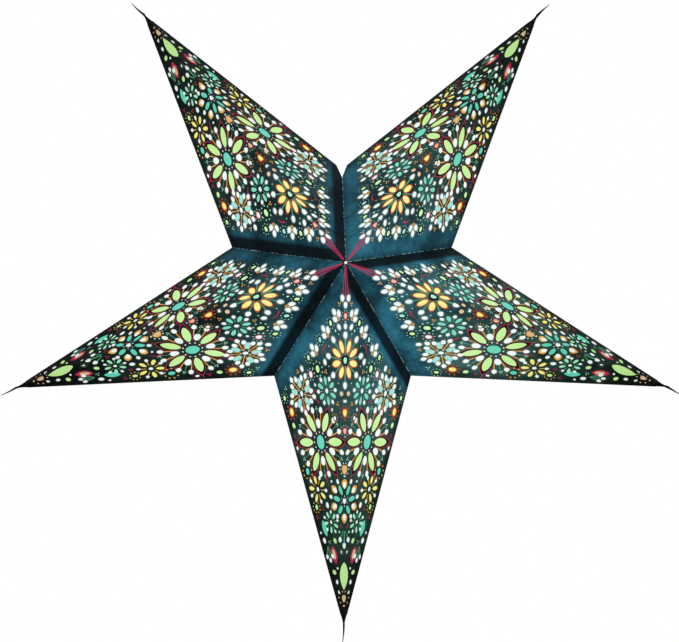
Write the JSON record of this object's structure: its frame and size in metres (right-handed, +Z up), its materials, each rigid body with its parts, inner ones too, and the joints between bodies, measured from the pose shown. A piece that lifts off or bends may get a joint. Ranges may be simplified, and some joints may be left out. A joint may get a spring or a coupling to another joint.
{
  "type": "paper star lantern",
  "caption": "Folded card star with pierced windows over coloured tissue, lit by a bulb in a cord lampholder at its top notch.",
  "frame": {"origin": "the middle of the cord gland's top face, which the lantern hangs from", "axes": "+X to the right seen from the front, -Y to the front, +Z up along the cord"},
  "size_m": [0.5986, 0.218, 0.5693],
  "materials": {
    "printed_card": "matt dark teal card, printed",
    "coloured_tissue": "translucent coloured tissue",
    "bare_card": "matt dark card",
    "pinched_card": "matt near-black card",
    "gland_plastic": "satin off-white",
    "holder_plastic": "satin off-white",
    "bulb_brass": "polished",
    "frosted_glass": "frosted white envelope"
  },
  "bodies": {
    "lampholder_and_bottom_tip": {"cord_gland": "gland_plastic", "lampholder_cap": "holder_plastic", "lampholder_sleeve": "holder_plastic", "bottom_point_tip": "pinched_card"},
    "left_point_tip": {"left_point_tip": "pinched_card"},
    "top_left_point_tip": {"top_left_point_tip": "pinched_card"},
    "right_point_tip": {"right_point_tip": "pinched_card"},
    "top_right_point_tip": {"top_right_point_tip": "pinched_card"},
    "bottom_point_front_right": {"bottom_point_front_right_panel": "printed_card", "bottom_point_front_right_lining": "coloured_tissue", "bottom_point_front_right_tab": "bare_card"},
    "bottom_point_front_left": {"bottom_point_front_left_panel": "printed_card", "bottom_point_front_left_lining": "coloured_tissue"},
    "bottom_point_back_right": {"bottom_point_back_right_panel": "printed_card", "bottom_point_back_right_lining": "coloured_tissue", "bottom_point_back_right_tab": "bare_card"},
    "bottom_point_back_left": {"bottom_point_back_left_panel": "printed_card", "bottom_point_back_left_lining": "coloured_tissue"},
    "left_point_front_lower": {"left_point_front_lower_panel": "printed_card", "left_point_front_lower_lining": "coloured_tissue", "left_point_front_lower_tab": "bare_card"},
    "left_point_front_upper": {"left_point_front_upper_panel": "printed_card", "left_point_front_upper_lining": "coloured_tissue"},
    "left_point_back_lower": {"left_point_back_lower_panel": "printed_card", "left_point_back_lower_lining": "coloured_tissue", "left_point_back_lower_tab": "bare_card"},
    "left_point_back_upper": {"left_point_back_upper_panel": "printed_card", "left_point_back_upper_lining": "coloured_tissue"},
    "top_left_point_front_lower": {"top_left_point_front_lower_panel": "printed_card", "top_left_point_front_lower_lining": "coloured_tissue", "top_left_point_front_lower_tab": "bare_card"},
    "top_left_point_front_upper": {"top_left_point_front_upper_panel": "printed_card", "top_left_point_front_upper_lining": "coloured_tissue", "top_left_point_front_upper_tab": "bare_card"},
    "top_left_point_back_lower": {"top_left_point_back_lower_panel": "printed_card", "top_left_point_back_lower_lining": "coloured_tissue", "top_left_point_back_lower_tab": "bare_card"},
    "top_left_point_back_upper": {"top_left_point_back_upper_panel": "printed_card", "top_left_point_back_upper_lining": "coloured_tissue", "top_left_point_back_upper_tab": "bare_card"},
    "right_point_front_upper": {"right_point_front_upper_panel": "printed_card", "right_point_front_upper_lining": "coloured_tissue", "right_point_front_upper_tab": "bare_card"},
    "right_point_front_lower": {"right_point_front_lower_panel": "printed_card", "right_point_front_lower_lining": "coloured_tissue"},
    "right_point_back_upper": {"right_point_back_upper_panel": "printed_card", "right_point_back_upper_lining": "coloured_tissue", "right_point_back_upper_tab": "bare_card"},
    "right_point_back_lower": {"right_point_back_lower_panel": "printed_card", "right_point_back_lower_lining": "coloured_tissue"},
    "top_right_point_front_upper": {"top_right_point_front_upper_panel": "printed_card", "top_right_point_front_upper_lining": "coloured_tissue"},
    "top_right_point_front_lower": {"top_right_point_front_lower_panel": "printed_card", "top_right_point_front_lower_lining": "coloured_tissue"},
    "top_right_point_back_upper": {"top_right_point_back_upper_panel": "printed_card", "top_right_point_back_upper_lining": "coloured_tissue"},
    "top_right_point_back_lower": {"top_right_point_back_lower_panel": "printed_card", "top_right_point_back_lower_lining": "coloured_tissue"},
    "bulb": {"bulb_base": "bulb_brass", "bulb_globe": "frosted_glass"}
  },
  "joints": [
    {"name": "left_point_fold", "type": "hinge", "parent": "lampholder_and_bottom_tip", "child": "left_point_tip", "pos_m": [0.01497, 0, -0.06963], "axis": [0, -1, 0], "range_deg": [0, 12]},
    {"name": "top_left_point_fold", "type": "hinge", "parent": "left_point_tip", "child": "top_left_point_tip", "pos_m": [0.02422, 0, -0.09811], "axis": [0, -1, 0], "range_deg": [-0.2, 12.2]},
    {"name": "right_point_fold", "type": "hinge", "parent": "lampholder_and_bottom_tip", "child": "right_point_tip", "pos_m": [-0.01497, 0, -0.06963], "axis": [0, 1, 0], "range_deg": [-0.2, 12.2]},
    {"name": "top_right_point_fold", "type": "hinge", "parent": "right_point_tip", "child": "top_right_point_tip", "pos_m": [-0.02422, 0, -0.09811], "axis": [0, 1, 0], "range_deg": [-0.2, 12.2]},
    {"name": "bottom_point_front_right_fold", "type": "hinge", "parent": "lampholder_and_bottom_tip", "child": "bottom_point_front_right", "pos_m": [0, 0, -0.39124], "axis": [0.2209, -0.35, 0.9103], "range_deg": [-0.2, 14]},
    {"name": "bottom_point_front_left_fold", "type": "hinge", "parent": "lampholder_and_bottom_tip", "child": "bottom_point_front_left", "pos_m": [0, 0, -0.39124], "axis": [0.2209, 0.35, -0.9103], "range_deg": [-0.2, 14]},
    {"name": "bottom_point_back_right_fold", "type": "hinge", "parent": "lampholder_and_bottom_tip", "child": "bottom_point_back_right", "pos_m": [0, 0, -0.39124], "axis": [-0.2209, -0.35, -0.9103], "range_deg": [-0.2, 14]},
    {"name": "bottom_point_back_left_fold", "type": "hinge", "parent": "lampholder_and_bottom_tip", "child": "bottom_point_back_left", "pos_m": [0, 0, -0.39124], "axis": [-0.2209, 0.35, 0.9103], "range_deg": [-0.2, 14]},
    {"name": "left_point_front_lower_fold", "type": "hinge", "parent": "left_point_tip", "child": "left_point_front_lower", "pos_m": [-0.28627, 0, -0.18325], "axis": [0.934, -0.35, 0.0712], "range_deg": [-0.2, 14]},
    {"name": "left_point_front_upper_fold", "type": "hinge", "parent": "left_point_tip", "child": "left_point_front_upper", "pos_m": [-0.28627, 0, -0.18325], "axis": [-0.7975, 0.35, -0.4914], "range_deg": [-0.2, 14]},
    {"name": "left_point_back_lower_fold", "type": "hinge", "parent": "left_point_tip", "child": "left_point_back_lower", "pos_m": [-0.28627, 0, -0.18325], "axis": [-0.934, -0.35, -0.0712], "range_deg": [-0.2, 14]},
    {"name": "left_point_back_upper_fold", "type": "hinge", "parent": "left_point_tip", "child": "left_point_back_upper", "pos_m": [-0.28627, 0, -0.18325], "axis": [0.7975, 0.35, 0.4914], "range_deg": [-0.2, 14]},
    {"name": "top_left_point_front_lower_fold", "type": "hinge", "parent": "top_left_point_tip", "child": "top_left_point_front_lower", "pos_m": [-0.17692, 0, 0.15327], "axis": [0.3564, -0.35, -0.8663], "range_deg": [-0.2, 14]},
    {"name": "top_left_point_front_upper_fold", "type": "hinge", "parent": "top_left_point_tip", "child": "top_left_point_front_upper", "pos_m": [-0.17692, 0, 0.15327], "axis": [-0.7138, 0.35, 0.6066], "range_deg": [-0.2, 14]},
    {"name": "top_left_point_back_lower_fold", "type": "hinge", "parent": "top_left_point_tip", "child": "top_left_point_back_lower", "pos_m": [-0.17692, 0, 0.15327], "axis": [-0.3564, -0.35, 0.8663], "range_deg": [-0.2, 14]},
    {"name": "top_left_point_back_upper_fold", "type": "hinge", "parent": "top_left_point_tip", "child": "top_left_point_back_upper", "pos_m": [-0.17692, 0, 0.15327], "axis": [0.7138, 0.35, -0.6066], "range_deg": [-0.2, 14]},
    {"name": "right_point_front_upper_fold", "type": "hinge", "parent": "right_point_tip", "child": "right_point_front_upper", "pos_m": [0.28627, 0, -0.18325], "axis": [-0.7975, -0.35, 0.4914], "range_deg": [-0.2, 14]},
    {"name": "right_point_front_lower_fold", "type": "hinge", "parent": "right_point_tip", "child": "right_point_front_lower", "pos_m": [0.28627, 0, -0.18325], "axis": [0.934, 0.35, -0.0712], "range_deg": [-0.2, 14]},
    {"name": "right_point_back_upper_fold", "type": "hinge", "parent": "right_point_tip", "child": "right_point_back_upper", "pos_m": [0.28627, 0, -0.18325], "axis": [0.7975, -0.35, -0.4914], "range_deg": [-0.2, 14]},
    {"name": "right_point_back_lower_fold", "type": "hinge", "parent": "right_point_tip", "child": "right_point_back_lower", "pos_m": [0.28627, 0, -0.18325], "axis": [-0.934, 0.35, 0.0712], "range_deg": [-0.2, 14]},
    {"name": "top_right_point_front_upper_fold", "type": "hinge", "parent": "top_right_point_tip", "child": "top_right_point_front_upper", "pos_m": [0.17692, 0, 0.15327], "axis": [-0.7138, -0.35, -0.6066], "range_deg": [-0.2, 14]},
    {"name": "top_right_point_front_lower_fold", "type": "hinge", "parent": "top_right_point_tip", "child": "top_right_point_front_lower", "pos_m": [0.17692, 0, 0.15327], "axis": [0.3564, 0.35, 0.8663], "range_deg": [-0.2, 14]},
    {"name": "top_right_point_back_upper_fold", "type": "hinge", "parent": "top_right_point_tip", "child": "top_right_point_back_upper", "pos_m": [0.17692, 0, 0.15327], "axis": [0.7138, -0.35, 0.6066], "range_deg": [-0.2, 14]},
    {"name": "top_right_point_back_lower_fold", "type": "hinge", "parent": "top_right_point_tip", "child": "top_right_point_back_lower", "pos_m": [0.17692, 0, 0.15327], "axis": [-0.3564, 0.35, -0.8663], "range_deg": [-0.2, 14]},
    {"name": "bulb_turn", "type": "hinge", "parent": "lampholder_and_bottom_tip", "child": "bulb", "pos_m": [0, 0, -0.0359], "axis": [0, 0, 1], "continuous": true}
  ],
  "couplings": [
    {"joint": "top_left_point_fold", "follows": "left_point_fold", "ratio": 1},
    {"joint": "right_point_fold", "follows": "left_point_fold", "ratio": 1},
    {"joint": "top_right_point_fold", "follows": "left_point_fold", "ratio": 1},
    {"joint": "bottom_point_front_right_fold", "follows": "left_point_fold", "ratio": 1.1401},
    {"joint": "bottom_point_front_left_fold", "follows": "left_point_fold", "ratio": 1.1401},
    {"joint": "bottom_point_back_right_fold", "follows": "left_point_fold", "ratio": 1.1401},
    {"joint": "bottom_point_back_left_fold", "follows": "left_point_fold", "ratio": 1.1401},
    {"joint": "left_point_front_lower_fold", "follows": "left_point_fold", "ratio": 1.1401},
    {"joint": "left_point_front_upper_fold", "follows": "left_point_fold", "ratio": 1.1401},
    {"joint": "left_point_back_lower_fold", "follows": "left_point_fold", "ratio": 1.1401},
    {"joint": "left_point_back_upper_fold", "follows": "left_point_fold", "ratio": 1.1401},
    {"joint": "top_left_point_front_lower_fold", "follows": "left_point_fold", "ratio": 1.1401},
    {"joint": "top_left_point_front_upper_fold", "follows": "left_point_fold", "ratio": 1.1401},
    {"joint": "top_left_point_back_lower_fold", "follows": "left_point_fold", "ratio": 1.1401},
    {"joint": "top_left_point_back_upper_fold", "follows": "left_point_fold", "ratio": 1.1401},
    {"joint": "right_point_front_upper_fold", "follows": "left_point_fold", "ratio": 1.1401},
    {"joint": "right_point_front_lower_fold", "follows": "left_point_fold", "ratio": 1.1401},
    {"joint": "right_point_back_upper_fold", "follows": "left_point_fold", "ratio": 1.1401},
    {"joint": "right_point_back_lower_fold", "follows": "left_point_fold", "ratio": 1.1401},
    {"joint": "top_right_point_front_upper_fold", "follows": "left_point_fold", "ratio": 1.1401},
    {"joint": "top_right_point_front_lower_fold", "follows": "left_point_fold", "ratio": 1.1401},
    {"joint": "top_right_point_back_upper_fold", "follows": "left_point_fold", "ratio": 1.1401},
    {"joint": "top_right_point_back_lower_fold", "follows": "left_point_fold", "ratio": 1.1401}
  ]
}
